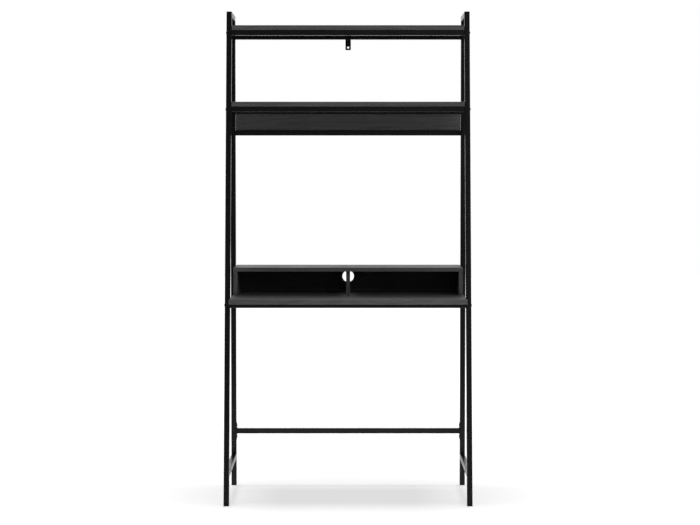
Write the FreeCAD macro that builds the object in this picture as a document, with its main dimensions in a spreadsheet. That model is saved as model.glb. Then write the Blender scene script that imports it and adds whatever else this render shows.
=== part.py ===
import FreeCAD, Part
import math
import os

import Sketcher
from FreeCAD import Rotation, Vector

# A ladder desk: two welded side frames of square tube, joined by bolted rails that carry
# a desk board, two shelves and a back panel, with a two-bay cubby standing on the desk.
# X is the width, the front faces -Y, Z is up, and the origin is on the floor under the middle.

# Driving dimensions in millimetres, piece by piece.
SIZES = (
    # side frames, over their outer faces; the front legs lean back from the floor to the top
    ("overall_width", "914"),
    ("overall_height", "1828"),
    ("overall_depth", "457"),
    ("top_depth", "214"),
    # square steel tube
    ("tube_size", "20"),
    ("tube_wall", "1.2"),
    ("tube_corner", "2.5"),
    # stretchers near the floor, heights of their axes
    ("side_stretcher_height", "113"),
    ("rear_stretcher_height", "214"),
    # plates on the rear stretcher's ends
    ("end_plate_height", "66"),
    ("end_plate_thickness", "1.5"),
    ("end_plate_corner", "4"),
    ("end_plate_bolt_pitch", "44"),
    # plastic caps in the leg ends
    ("cap_sole", "4"),
    ("cap_plug", "14"),
    ("cap_clearance", "0.15"),
    ("cap_round", "1"),
    # upper faces of the boards: the desk from the floor, the shelves down from the top
    ("desk_height", "760"),
    ("top_shelf_drop", "52"),
    ("shelf_spacing", "288"),
    ("board_thickness", "18"),
    ("board_end_gap", "1"),
    ("board_edge_round", "0.8"),
    # panel under the rear edge of the middle shelf
    ("back_panel_height", "63"),
    ("back_panel_thickness", "15"),
    # cubby on the desk
    ("cubby_height", "104"),
    ("cubby_depth", "214"),
    ("cubby_side_gap", "3"),
    ("cubby_thickness", "15"),
    ("cubby_edge_round", "0.6"),
    ("divider_setback", "14"),
    ("cable_hole_diameter", "45"),
    ("cable_hole_drop", "6.5"),
    # wall bracket under the rear rail of the top shelf
    ("bracket_width", "21"),
    ("bracket_drop", "40"),
    ("bracket_foot", "17"),
    ("bracket_thickness", "2"),
    ("bracket_bend", "1"),
    ("bracket_corner", "4"),
    ("bracket_hole_diameter", "8"),
    ("bracket_hole_height", "10"),
    # domed bolts with hexagon sockets
    ("bolt_diameter", "6"),
    ("bolt_head_diameter", "12"),
    ("bolt_head_rim", "0.6"),
    ("bolt_head_dome", "1.8"),
    ("bolt_socket_flats", "4"),
    ("bolt_socket_depth", "1.6"),
    ("bolt_engagement", "14"),
    ("bolt_overhang", "2"),
    # nuts pushed into the rail ends, and square nuts welded inside the tube walls
    ("end_nut_length", "16"),
    ("end_nut_clearance", "0.1"),
    ("weld_nut_size", "10"),
    ("weld_nut_height", "5"),
    # sunk wood screws from the rails into the boards
    ("screw_diameter", "4"),
    ("screw_tip", "4"),
    ("screw_head_diameter", "8"),
    ("screw_slot_length", "4.4"),
    ("screw_slot_width", "0.9"),
    ("screw_slot_depth", "1.3"),
    ("screw_cover", "4"),
    # locating pins of the back panel, and dowels under the cubby top
    ("pin_diameter", "6"),
    ("pin_in_rail", "8"),
    ("pin_in_panel", "16"),
    ("dowel_diameter", "6"),
    ("dowel_in_top", "9"),
    ("dowel_in_side", "16"),
    # flat-headed connector screws from under the desk into the cubby
    ("connector_diameter", "5"),
    ("connector_tip", "3"),
    ("connector_head_diameter", "10"),
    ("connector_head_height", "2.5"),
    ("connector_engagement", "30"),
    # play round what passes through a hole, bites in one or ends in one
    ("hole_clearance", "0.3"),
    ("thread_clearance", "0.1"),
    ("end_clearance", "0.5"),
    # how far a cut runs past what it cuts
    ("cut_overrun", "40"),
)

# Places along a rail, as shares of the clear width from its middle.
SCREW_SHARES = (-0.42, -0.14, 0.14, 0.42)
PANEL_SCREW_SHARES = (-0.36, 0.0, 0.36)
PANEL_PIN_SHARES = (-0.28, 0.28)
# Places in the cubby, as shares of its panels' depth from the rear and of its back's width.
CONNECTOR_SHARES = (0.3, 0.8)
DOWEL_SHARES = (0.2, 0.85)
BACK_DOWEL_SHARES = (-0.3, 0.3)

doc = FreeCAD.newDocument("ladder_desk")
sizes = doc.addObject("Spreadsheet::Sheet", "Sizes")
for row, (alias, number) in enumerate(SIZES, 1):
    sizes.set(f"A{row}", alias)
    sizes.set(f"B{row}", number)
    sizes.setAlias(f"B{row}", alias)
doc.recompute()

# Derived sizes, as expressions in the named cells.
REAR = "(Sizes.overall_depth / 2)"
FRONT = "(-Sizes.overall_depth / 2)"
HEIGHT = "Sizes.overall_height"
CLEAR_WIDTH = "(Sizes.overall_width - 2 * Sizes.tube_size)"
LEG_X = "(Sizes.overall_width / 2 - Sizes.tube_size / 2)"
REAR_AXIS = f"({REAR} - Sizes.tube_size / 2)"
TUBE_BORE = "(Sizes.tube_size - 2 * Sizes.tube_wall)"
BORE_CORNER = "(Sizes.tube_corner - Sizes.tube_wall)"

# The front legs run back this far for each unit of height, and a level cut through one is
# longer than its square section by the stretch.
RAKE = "((Sizes.overall_depth - Sizes.top_depth) / Sizes.overall_height)"
STRETCH = f"sqrt(1 + {RAKE} ^ 2)"

# Heights of the rails' axes: each board lies on its rails, and the back panel hangs between two.
TOP_SHELF = "(Sizes.overall_height - Sizes.top_shelf_drop)"
MIDDLE_SHELF = f"({TOP_SHELF} - Sizes.shelf_spacing)"
TOP_RAIL = f"({TOP_SHELF} - Sizes.board_thickness - Sizes.tube_size / 2)"
MIDDLE_RAIL = f"({MIDDLE_SHELF} - Sizes.board_thickness - Sizes.tube_size / 2)"
DESK_RAIL = "(Sizes.desk_height - Sizes.board_thickness - Sizes.tube_size / 2)"
BACK_RAIL = f"({MIDDLE_RAIL} - Sizes.back_panel_height - Sizes.tube_size)"

# The wall bracket's bolt stands clear of the bend, under the top shelf's rear rail.
BRACKET_SEAT = f"({TOP_RAIL} - Sizes.tube_size / 2)"
BRACKET_BEND = "(Sizes.bracket_thickness + Sizes.bracket_bend)"
BRACKET_BOLT_Y = f"({REAR} - {BRACKET_BEND} - Sizes.bolt_head_diameter / 2 - Sizes.end_clearance)"

# The cubby's top lies on its sides, back and divider, which stand on the desk.
CUBBY_WIDTH = f"({CLEAR_WIDTH} - 2 * Sizes.cubby_side_gap)"
CUBBY_WALL = "(Sizes.cubby_height - Sizes.cubby_thickness)"
CUBBY_SIDE_X = f"({CUBBY_WIDTH} / 2 - Sizes.cubby_thickness / 2)"
CUBBY_BACK_WIDTH = f"({CUBBY_WIDTH} - 2 * Sizes.cubby_thickness)"
DIVIDER_DEPTH = "(Sizes.cubby_depth - Sizes.cubby_thickness - Sizes.divider_setback)"
DIVIDER_REAR = f"({REAR} - Sizes.cubby_thickness)"

# Holes for the fasteners.
BOLT_HOLE = "(Sizes.bolt_diameter + 2 * Sizes.hole_clearance)"
BOLT_THREAD = "(Sizes.bolt_diameter + 2 * Sizes.thread_clearance)"
SCREW_HOLE = "(Sizes.screw_diameter + 2 * Sizes.hole_clearance)"
SCREW_PILOT = "(Sizes.screw_diameter + 2 * Sizes.thread_clearance)"
SCREW_BITE = "(Sizes.board_thickness - Sizes.screw_cover)"
SCREW_PILOT_DEPTH = f"({SCREW_BITE} + Sizes.end_clearance)"
SCREW_SINK = "((Sizes.screw_head_diameter - Sizes.screw_diameter) / 2)"
SCREW_SEAT = "(Sizes.screw_head_diameter + 2 * Sizes.hole_clearance)"
PIN_HOLE = "(Sizes.pin_diameter + 2 * Sizes.thread_clearance)"
DOWEL_HOLE = "(Sizes.dowel_diameter + 2 * Sizes.thread_clearance)"
CONNECTOR_HOLE = "(Sizes.connector_diameter + 2 * Sizes.hole_clearance)"
CONNECTOR_PILOT = "(Sizes.connector_diameter + 2 * Sizes.thread_clearance)"
CONNECTOR_SEAT = "(Sizes.connector_head_diameter + 2 * Sizes.hole_clearance)"

# Turns that take a fastener's head from up to another side.
HEAD_RIGHT = Rotation(Vector(0, 1, 0), 90)
HEAD_LEFT = Rotation(Vector(0, 1, 0), -90)
HEAD_DOWN = Rotation(Vector(1, 0, 0), 180)
UPRIGHT = Rotation()

# A sketch numbers an edge's points in this order, and its own origin by a pair.
POINTS = ("edge", "start", "end", "centre")
ORIGIN = (-1, 1)


def value(expression):
    """Number that an expression gives at the present sizes."""
    return float(sizes.evalExpression(expression))


def front_face(height):
    """Y of the front legs' front face at a height."""
    return f"({FRONT} + {RAKE} * {height})"


def front_axis(height):
    """Y of the front legs' axis at a height."""
    return f"({front_face(height)} + {STRETCH} * Sizes.tube_size / 2)"


def front_leg_back(height):
    """Y of the front legs' rear face at a height."""
    return f"({front_face(height)} + {STRETCH} * Sizes.tube_size)"


def rail_places(shares):
    """X places along a rail at shares of the clear width."""
    return [f"({share} * {CLEAR_WIDTH})" for share in shares]


# Sketches and features

def new_body(label):
    """An empty body with its own label."""
    body = doc.addObject("PartDesign::Body", label)
    body.Label = label
    return body


def place(piece, x="0", y="0", z="0"):
    """Bind a piece's place to three expressions."""
    for axis, expression in zip("xyz", (x, y, z)):
        piece.setExpression(f"Placement.Base.{axis}", expression)


def sketch_on(body, role, offset="0"):
    """A sketch on one of the body's origin planes, moved along the plane's normal."""
    plane = next(item for item in body.Origin.OriginFeatures if item.Role == role)
    sketch = body.newObject("Sketcher::SketchObject", f"{body.Label}_sketch")
    sketch.AttachmentSupport = [(plane, "")]
    sketch.MapMode = "FlatFace"
    sketch.setExpression("AttachmentOffset.Base.z", offset)
    return sketch


def constrain(sketch, expression, kind, *geometry):
    """Add a dimension to a sketch and bind it to an expression."""
    index = sketch.addConstraint(Sketcher.Constraint(kind, *geometry, value(expression)))
    sketch.setExpression(f"Constraints[{index}]", expression)


def point_number(name):
    """Number by which a sketch knows a named point of an edge."""
    return POINTS.index(name)


def pin_point(sketch, edge, name, x, y):
    """Bind a named point of an edge to a place from the sketch's origin."""
    constrain(sketch, x, "DistanceX", *ORIGIN, edge, point_number(name))
    constrain(sketch, y, "DistanceY", *ORIGIN, edge, point_number(name))


def outline(sketch, points, dome_after=None, dome_radius=None):
    """A closed outline through points, with an outward arc after one of them if asked."""
    spots = [Vector(value(x), value(y), 0) for x, y in points]
    edges = []
    for index, (start, end) in enumerate(zip(spots, spots[1:] + spots[:1])):
        if index == dome_after:
            edges.append(sketch.addGeometry(dome_arc(start, end, value(dome_radius))))
            constrain(sketch, dome_radius, "Radius", edges[-1])
        else:
            edges.append(sketch.addGeometry(Part.LineSegment(start, end)))
    for edge, following in zip(edges, edges[1:] + edges[:1]):
        joint = (edge, point_number("end"), following, point_number("start"))
        sketch.addConstraint(Sketcher.Constraint("Coincident", *joint))
    for edge, (x, y) in zip(edges, points):
        pin_point(sketch, edge, "start", x, y)


def dome_arc(start, end, radius):
    """Arc that runs anticlockwise from start to end, with its centre on the left."""
    chord = end - start
    left = Vector(-chord.y, chord.x, 0).normalize()
    rise = math.sqrt(radius ** 2 - (chord.Length / 2) ** 2)
    centre = (start + end) / 2 + left * rise
    first = math.atan2(start.y - centre.y, start.x - centre.x)
    last = math.atan2(end.y - centre.y, end.x - centre.x)
    return Part.ArcOfCircle(Part.Circle(centre, Vector(0, 0, 1), radius), first, last)


def rectangle(sketch, width, depth, x="0", y="0"):
    """A rectangle about a place."""
    right, left = f"({x} + {width} / 2)", f"({x} - {width} / 2)"
    back, front = f"({y} + {depth} / 2)", f"({y} - {depth} / 2)"
    outline(sketch, [(right, back), (left, back), (left, front), (right, front)])


def circle(sketch, diameter, x="0", y="0"):
    """A circle about a place."""
    ring = Part.Circle(Vector(value(x), value(y), 0), Vector(0, 0, 1), value(diameter) / 2)
    index = sketch.addGeometry(ring)
    pin_point(sketch, index, "centre", x, y)
    constrain(sketch, diameter, "Diameter", index)


def rounded_rectangle(sketch, width, depth, corner, x="0", y="0"):
    """A rectangle about a place, with four equal round corners."""
    radius = value(corner)
    arcs = []
    for quarter, (side, end) in enumerate(((1, 1), (-1, 1), (-1, -1), (1, -1))):
        centre_x = f"({x} + {side} * ({width} / 2 - {corner}))"
        centre_y = f"({y} + {end} * ({depth} / 2 - {corner}))"
        ring = Part.Circle(Vector(value(centre_x), value(centre_y), 0), Vector(0, 0, 1), radius)
        first = quarter * math.pi / 2
        arcs.append(sketch.addGeometry(Part.ArcOfCircle(ring, first, first + math.pi / 2)))
        pin_point(sketch, arcs[-1], "centre", centre_x, centre_y)
        constrain(sketch, corner, "Radius", arcs[-1])
    for arc, following in zip(arcs, arcs[1:] + arcs[:1]):
        leaves = sketch.getPoint(arc, point_number("end"))
        arrives = sketch.getPoint(following, point_number("start"))
        side = sketch.addGeometry(Part.LineSegment(leaves, arrives))
        for before, after in ((arc, side), (side, following)):
            joint = (before, point_number("end"), after, point_number("start"))
            sketch.addConstraint(Sketcher.Constraint("Tangent", *joint))


def tube_ring(sketch, x="0", y="0", stretch="1"):
    """Section of the square tube about a place, stretched where the cut isn't square."""
    rounded_rectangle(sketch, "Sizes.tube_size", f"Sizes.tube_size * {stretch}", "Sizes.tube_corner", x, y)
    rounded_rectangle(sketch, TUBE_BORE, f"{TUBE_BORE} * {stretch}", BORE_CORNER, x, y)


def pad(body, sketch, length, both_ways=False):
    """Raise a sketch along its normal, or half each way."""
    feature = body.newObject("PartDesign::Pad", f"{body.Label}_pad")
    feature.Profile = sketch
    feature.Midplane = both_ways
    feature.setExpression("Length", length)
    doc.recompute()
    return feature


def raked_pad(body, sketch, rise):
    """Raise a level sketch to a height along the slope of the front legs."""
    feature = body.newObject("PartDesign::Pad", f"{body.Label}_pad")
    feature.Profile = sketch
    feature.UseCustomVector = True
    feature.AlongSketchNormal = True
    feature.setExpression("Direction.x", "0")
    feature.setExpression("Direction.y", RAKE)
    feature.setExpression("Direction.z", "1")
    feature.setExpression("Length", rise)
    doc.recompute()
    return feature


def cut(body, sketch, depth=None, along_normal=False, both_ways=False):
    """Cut a sketch to a depth, or right through."""
    before = body.Shape.Volume
    feature = body.newObject("PartDesign::Pocket", f"{body.Label}_cut")
    feature.Profile = sketch
    feature.Midplane = both_ways
    feature.Reversed = along_normal
    if depth is None:
        feature.Type = "ThroughAll"
    else:
        feature.setExpression("Length", depth)
    doc.recompute()
    check_removed(body, before)
    return feature


def sunk_holes(body, sketch, diameter, seat):
    """Drill a sketch's circles right through along its normal, with a right-angled seat for sunk heads."""
    before = body.Shape.Volume
    feature = body.newObject("PartDesign::Hole", f"{body.Label}_holes")
    feature.Profile = sketch
    feature.DepthType = "ThroughAll"
    feature.Reversed = True
    feature.HoleCutType = "Countersink"
    feature.HoleCutCustomValues = True
    feature.HoleCutCountersinkAngle = 90
    feature.setExpression("Diameter", diameter)
    feature.setExpression("HoleCutDiameter", seat)
    doc.recompute()
    check_removed(body, before)
    return feature


def check_removed(body, before):
    """Make sure that the last cut took something off a body."""
    if not body.Shape.Volume < before:
        raise RuntimeError(f"a cut in {body.Label} removes nothing")


def turn(body, sketch):
    """Turn a half section fully round the sketch's upright axis."""
    feature = body.newObject("PartDesign::Revolution", f"{body.Label}_turn")
    feature.Profile = sketch
    feature.ReferenceAxis = (sketch, ["V_Axis"])
    doc.recompute()
    return feature


def round_all(body, feature, radius):
    """Round every edge of a feature."""
    fillet = body.newObject("PartDesign::Fillet", f"{body.Label}_round")
    fillet.Base = (feature, [""])
    fillet.UseAllEdges = True
    fillet.setExpression("Radius", radius)
    doc.recompute()
    return fillet


def round_edges(body, feature, radius, middles):
    """Round the edges of a feature whose middles lie at given places, and those that run on smoothly."""
    names = []
    for middle in middles:
        spot = Vector(*(value(expression) for expression in middle))
        gaps = [(edge.CenterOfMass - spot).Length for edge in feature.Shape.Edges]
        names.append(f"Edge{gaps.index(min(gaps)) + 1}")
    fillet = body.newObject("PartDesign::Fillet", f"{body.Label}_round")
    fillet.Base = (feature, names)
    fillet.setExpression("Radius", radius)
    doc.recompute()
    return fillet


def copies(label, master, places):
    """One group of separate copies of a master piece, each at a place and a turn."""
    links = []
    for index, (x, y, z, turned) in enumerate(places):
        link = doc.addObject("App::Link", f"{label}_{index}")
        link.LinkedObject = master
        link.Placement.Rotation = turned
        place(link, x, y, z)
        links.append(link)
    group = doc.addObject("Part::Compound", label)
    group.Label = label
    group.Links = links
    return group


# Side frames

# Corners of the mitres at the top of a side frame: outer and inner point of each, as Y and Z.
UNDER_TOP_BAR = "(Sizes.overall_height - Sizes.tube_size)"
FRONT_MITRE = ((front_face(HEIGHT), HEIGHT), (front_leg_back(UNDER_TOP_BAR), UNDER_TOP_BAR))
REAR_MITRE = ((REAR, HEIGHT), (f"({REAR} - Sizes.tube_size)", UNDER_TOP_BAR))


def leg_waste(mitre, inward):
    """Outline of what a mitre takes off the top of a leg, on the side towards the other leg."""
    (outer_y, outer_z), (inner_y, inner_z) = mitre
    far = f"({inner_y} + {inward} * Sizes.cut_overrun)"
    above = f"({outer_z} + Sizes.cut_overrun)"
    return [(outer_y, outer_z), (inner_y, inner_z), (far, inner_z), (far, above), (outer_y, above)]


def bar_waste(mitre, outward):
    """Outline of what a mitre takes off the end of a top bar, on the side away from its middle."""
    (outer_y, outer_z), (inner_y, inner_z) = mitre
    far = f"({outer_y} + {outward} * Sizes.cut_overrun)"
    below = f"({inner_z} - Sizes.cut_overrun)"
    return [(outer_y, outer_z), (inner_y, inner_z), (inner_y, below), (far, below), (far, outer_z)]


def cross_holes(body, places, diameter):
    """Holes right through a piece from side to side, at Y and Z places."""
    holes = sketch_on(body, "YZ_Plane")
    for y, z in places:
        circle(holes, diameter, y, z)
    cut(body, holes, both_ways=True)


def front_leg(label, x):
    """Raked front leg on its cap, mitred at the top, with a bolt hole at each front rail."""
    leg = new_body(label)
    ring = sketch_on(leg, "XY_Plane", "Sizes.cap_sole")
    tube_ring(ring, y=front_axis("Sizes.cap_sole"), stretch=STRETCH)
    raked_pad(leg, ring, f"({HEIGHT} - Sizes.cap_sole)")
    mitre = sketch_on(leg, "YZ_Plane")
    outline(mitre, leg_waste(FRONT_MITRE, 1))
    cut(leg, mitre, both_ways=True)
    rails = (TOP_RAIL, MIDDLE_RAIL, DESK_RAIL)
    cross_holes(leg, [(front_axis(height), height) for height in rails], BOLT_HOLE)
    place(leg, x)
    return leg


def stretcher_bolt_heights():
    """Heights of the two bolts at each end of the rear stretcher."""
    return [f"(Sizes.rear_stretcher_height + {end} * Sizes.end_plate_bolt_pitch / 2)" for end in (-1, 1)]


def rear_leg(label, x, inner_is_right):
    """Upright rear leg with bolt holes at the rear rails and, on its inner wall, at the stretcher."""
    leg = new_body(label)
    ring = sketch_on(leg, "XY_Plane", "Sizes.cap_sole")
    tube_ring(ring, y=REAR_AXIS)
    pad(leg, ring, f"({HEIGHT} - Sizes.cap_sole)")
    mitre = sketch_on(leg, "YZ_Plane")
    outline(mitre, leg_waste(REAR_MITRE, -1))
    cut(leg, mitre, both_ways=True)
    rails = (TOP_RAIL, MIDDLE_RAIL, BACK_RAIL, DESK_RAIL)
    cross_holes(leg, [(REAR_AXIS, height) for height in rails], BOLT_HOLE)
    inner_holes = sketch_on(leg, "YZ_Plane")
    for height in stretcher_bolt_heights():
        circle(inner_holes, BOLT_HOLE, REAR_AXIS, height)
    cut(leg, inner_holes, along_normal=inner_is_right)
    place(leg, x)
    return leg


def top_bar(label, x):
    """Level bar from front leg to rear leg, mitred at both ends."""
    bar = new_body(label)
    ring = sketch_on(bar, "XZ_Plane", f"-{REAR}")
    tube_ring(ring, y=f"({HEIGHT} - Sizes.tube_size / 2)")
    pad(bar, ring, "Sizes.top_depth")
    for mitre, outward in ((FRONT_MITRE, -1), (REAR_MITRE, 1)):
        waste = sketch_on(bar, "YZ_Plane")
        outline(waste, bar_waste(mitre, outward))
        cut(bar, waste, both_ways=True)
    place(bar, x)
    return bar


def side_stretcher(label, x):
    """Level tube from the rear leg to the sloping back of the front leg."""
    axis = "Sizes.side_stretcher_height"
    rear_end = f"({REAR} - Sizes.tube_size)"
    stretcher = new_body(label)
    ring = sketch_on(stretcher, "XZ_Plane", f"-{rear_end}")
    tube_ring(ring, y=axis)
    pad(stretcher, ring, f"({rear_end} - {front_axis(axis)})")
    over = f"({axis} + Sizes.tube_size)"
    under = f"({axis} - Sizes.tube_size)"
    past = f"({front_axis(axis)} - Sizes.cut_overrun)"
    waste = sketch_on(stretcher, "YZ_Plane")
    outline(waste, [
        (front_leg_back(over), over),
        (past, over),
        (past, under),
        (front_leg_back(under), under),
    ])
    cut(stretcher, waste, both_ways=True)
    place(stretcher, x)
    return stretcher


def cap_plug_size(stretch):
    """Size across the plug of a leg cap, inside the tube."""
    return f"({TUBE_BORE} * {stretch} - 2 * Sizes.cap_clearance)"


def front_cap():
    """Cap of a raked leg: a sole of the tube's outline, rounded underneath, with a plug above it."""
    cap = new_body("front_cap_master")
    sole = sketch_on(cap, "XY_Plane")
    size = "Sizes.tube_size"
    rounded_rectangle(sole, size, f"{size} * {STRETCH}", "Sizes.tube_corner", y=front_axis("0"))
    front_edge = ("0", front_face("0"), "0")
    round_edges(cap, raked_pad(cap, sole, "Sizes.cap_sole"), "Sizes.cap_round", [front_edge])
    plug = sketch_on(cap, "XY_Plane", "Sizes.cap_sole")
    middle = front_axis("Sizes.cap_sole")
    rounded_rectangle(plug, cap_plug_size("1"), cap_plug_size(STRETCH), BORE_CORNER, y=middle)
    raked_pad(cap, plug, "Sizes.cap_plug")
    return cap


def rear_cap():
    """Cap of an upright leg."""
    cap = new_body("rear_cap_master")
    sole = sketch_on(cap, "XY_Plane")
    rounded_rectangle(sole, "Sizes.tube_size", "Sizes.tube_size", "Sizes.tube_corner", y=REAR_AXIS)
    rear_edge = ("0", REAR, "0")
    round_edges(cap, pad(cap, sole, "Sizes.cap_sole"), "Sizes.cap_round", [rear_edge])
    plug = sketch_on(cap, "XY_Plane", "Sizes.cap_sole")
    rounded_rectangle(plug, cap_plug_size("1"), cap_plug_size("1"), BORE_CORNER, y=REAR_AXIS)
    pad(cap, plug, "Sizes.cap_plug")
    return cap


# Rails and rear stretcher

def rail(label, y, z, screw_shares, pin_shares=()):
    """Tube between the side frames, with sunk screw holes from below and, in its lower wall, pin holes."""
    tube = new_body(label)
    ring = sketch_on(tube, "YZ_Plane")
    tube_ring(ring)
    pad(tube, ring, CLEAR_WIDTH, both_ways=True)
    holes = sketch_on(tube, "XY_Plane", "-Sizes.tube_size / 2")
    for x in rail_places(screw_shares):
        circle(holes, SCREW_HOLE, x)
    sunk_holes(tube, holes, SCREW_HOLE, SCREW_SEAT)
    if pin_shares:
        pin_holes = sketch_on(tube, "XY_Plane")
        for x in rail_places(pin_shares):
            circle(pin_holes, PIN_HOLE, x)
        cut(tube, pin_holes)
    place(tube, "0", y, z)
    return tube


def bracket_rail(label, y, z):
    """Rear rail of the top shelf, with one more hole in its lower wall for the wall bracket."""
    tube = rail(label, y, z, SCREW_SHARES)
    hole = sketch_on(tube, "XY_Plane")
    circle(hole, BOLT_HOLE, y=f"({BRACKET_BOLT_Y} - {REAR_AXIS})")
    cut(tube, hole)
    return tube


def rear_stretcher():
    """Tube between the plates on the rear legs, near the floor."""
    tube = new_body("rear_stretcher")
    ring = sketch_on(tube, "YZ_Plane")
    tube_ring(ring)
    pad(tube, ring, f"({CLEAR_WIDTH} - 2 * Sizes.end_plate_thickness)", both_ways=True)
    place(tube, "0", REAR_AXIS, "Sizes.rear_stretcher_height")
    return tube


def end_plates():
    """Bolted plates that close the rear stretcher's ends."""
    plate = new_body("end_plate_master")
    face = sketch_on(plate, "YZ_Plane")
    rounded_rectangle(face, "Sizes.tube_size", "Sizes.end_plate_height", "Sizes.end_plate_corner")
    for end in (-1, 1):
        circle(face, BOLT_HOLE, y=f"({end} * Sizes.end_plate_bolt_pitch / 2)")
    pad(plate, face, "Sizes.end_plate_thickness", both_ways=True)
    x = f"({CLEAR_WIDTH} / 2 - Sizes.end_plate_thickness / 2)"
    height = "Sizes.rear_stretcher_height"
    places = [(f"({side} * {x})", REAR_AXIS, height, UPRIGHT) for side in (-1, 1)]
    return copies("stretcher_end_plates", plate, places)


# Boards and panels

def plank(label, width, depth, thickness, edge_round):
    """Flat panel about its own middle, standing on its lower face, with its edges eased."""
    panel = new_body(label)
    face = sketch_on(panel, "XY_Plane")
    rectangle(face, width, depth)
    round_all(panel, pad(panel, face, thickness), edge_round)
    return panel


def drill(panel, places, diameter, depth=None, start="0", down=False):
    """Upright holes in a panel from a level, up or down to a depth or right through."""
    holes = sketch_on(panel, "XY_Plane", start)
    for x, y in places:
        circle(holes, diameter, x, y)
    cut(panel, holes, depth, along_normal=not down)


def shelf_front(rail_height):
    """Y of a shelf's front edge, flush with its front rail."""
    return f"({front_axis(rail_height)} - Sizes.tube_size / 2)"


def board(label, front, top, front_rail_height):
    """Board lying on a front and a rear rail, with pilot holes for the screws from both."""
    middle = f"(({REAR} + {front}) / 2)"
    width = f"({CLEAR_WIDTH} - 2 * Sizes.board_end_gap)"
    depth = f"({REAR} - {front})"
    panel = plank(label, width, depth, "Sizes.board_thickness", "Sizes.board_edge_round")
    places = []
    for rail_y in (front_axis(front_rail_height), REAR_AXIS):
        places += [(x, f"({rail_y} - {middle})") for x in rail_places(SCREW_SHARES)]
    drill(panel, places, SCREW_PILOT, SCREW_PILOT_DEPTH)
    place(panel, "0", middle, f"({top} - Sizes.board_thickness)")
    return panel


def connector_places():
    """X and Y of the connector screws under the cubby's sides and divider."""
    places = []
    for share in CONNECTOR_SHARES:
        side_y = f"({REAR} - {share} * Sizes.cubby_depth)"
        places += [(f"({side} * {CUBBY_SIDE_X})", side_y) for side in (-1, 1)]
        places.append(("0", f"({DIVIDER_REAR} - {share} * {DIVIDER_DEPTH})"))
    return places


def desk_board():
    """Desk board, with sunk holes from below for the cubby's connector screws."""
    panel = board("desk_board", FRONT, "Sizes.desk_height", DESK_RAIL)
    places = connector_places()
    drill(panel, places, CONNECTOR_HOLE)
    drill(panel, places, CONNECTOR_SEAT, "Sizes.connector_head_height")
    return panel


def back_panel():
    """Panel between two rear rails, screwed from below and pinned from above."""
    width = f"({CLEAR_WIDTH} - 2 * Sizes.board_end_gap)"
    height = "Sizes.back_panel_height"
    panel = plank("back_panel", width, "Sizes.back_panel_thickness", height, "Sizes.board_edge_round")
    screw_places = [(x, "0") for x in rail_places(PANEL_SCREW_SHARES)]
    drill(panel, screw_places, SCREW_PILOT, SCREW_PILOT_DEPTH)
    pin_places = [(x, "0") for x in rail_places(PANEL_PIN_SHARES)]
    pin_depth = "(Sizes.pin_in_panel + Sizes.end_clearance)"
    drill(panel, pin_places, PIN_HOLE, pin_depth, height, down=True)
    place(panel, "0", REAR_AXIS, f"({BACK_RAIL} + Sizes.tube_size / 2)")
    return panel


# Cubby

def cubby_wall(label, width, depth, x, y, connectors, dowels):
    """Standing panel of the cubby, drilled for connectors from below and dowels from above."""
    panel = plank(label, width, depth, CUBBY_WALL, "Sizes.cubby_edge_round")
    if connectors:
        connector_depth = "(Sizes.connector_engagement + Sizes.end_clearance)"
        drill(panel, connectors, CONNECTOR_PILOT, connector_depth)
    dowel_depth = "(Sizes.dowel_in_side + Sizes.end_clearance)"
    drill(panel, dowels, DOWEL_HOLE, dowel_depth, CUBBY_WALL, down=True)
    place(panel, x, y, "Sizes.desk_height")
    return panel


def deep_places(shares, depth):
    """Places along a standing panel's depth, from its own middle, at shares from its rear end."""
    return [("0", f"({depth} / 2 - {share} * {depth})") for share in shares]


def cubby_side(label, side):
    """Left or right side of the cubby."""
    depth = "Sizes.cubby_depth"
    connectors = deep_places(CONNECTOR_SHARES, depth)
    dowels = deep_places(DOWEL_SHARES, depth)
    x = f"({side} * {CUBBY_SIDE_X})"
    y = f"({REAR} - {depth} / 2)"
    return cubby_wall(label, "Sizes.cubby_thickness", depth, x, y, connectors, dowels)


def cubby_divider():
    """Upright between the two bays, set back a little from the front."""
    connectors = deep_places(CONNECTOR_SHARES, DIVIDER_DEPTH)
    dowels = deep_places(DOWEL_SHARES, DIVIDER_DEPTH)
    y = f"({DIVIDER_REAR} - {DIVIDER_DEPTH} / 2)"
    return cubby_wall("cubby_divider", "Sizes.cubby_thickness", DIVIDER_DEPTH, "0", y, connectors, dowels)


def cubby_back():
    """Back of the cubby, with the round cable hole behind the divider."""
    dowels = [(f"({share} * {CUBBY_BACK_WIDTH})", "0") for share in BACK_DOWEL_SHARES]
    y = f"({REAR} - Sizes.cubby_thickness / 2)"
    panel = cubby_wall("cubby_back", CUBBY_BACK_WIDTH, "Sizes.cubby_thickness", "0", y, [], dowels)
    hole = sketch_on(panel, "XZ_Plane")
    middle = f"({CUBBY_WALL} - Sizes.cable_hole_drop - Sizes.cable_hole_diameter / 2)"
    circle(hole, "Sizes.cable_hole_diameter", y=middle)
    cut(panel, hole, both_ways=True)
    return panel


def dowel_places():
    """X and Y of the dowels between the cubby's top and its standing panels."""
    places = []
    for share in DOWEL_SHARES:
        side_y = f"({REAR} - {share} * Sizes.cubby_depth)"
        places += [(f"({side} * {CUBBY_SIDE_X})", side_y) for side in (-1, 1)]
        places.append(("0", f"({DIVIDER_REAR} - {share} * {DIVIDER_DEPTH})"))
    back_y = f"({REAR} - Sizes.cubby_thickness / 2)"
    places += [(f"({share} * {CUBBY_BACK_WIDTH})", back_y) for share in BACK_DOWEL_SHARES]
    return places


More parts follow.
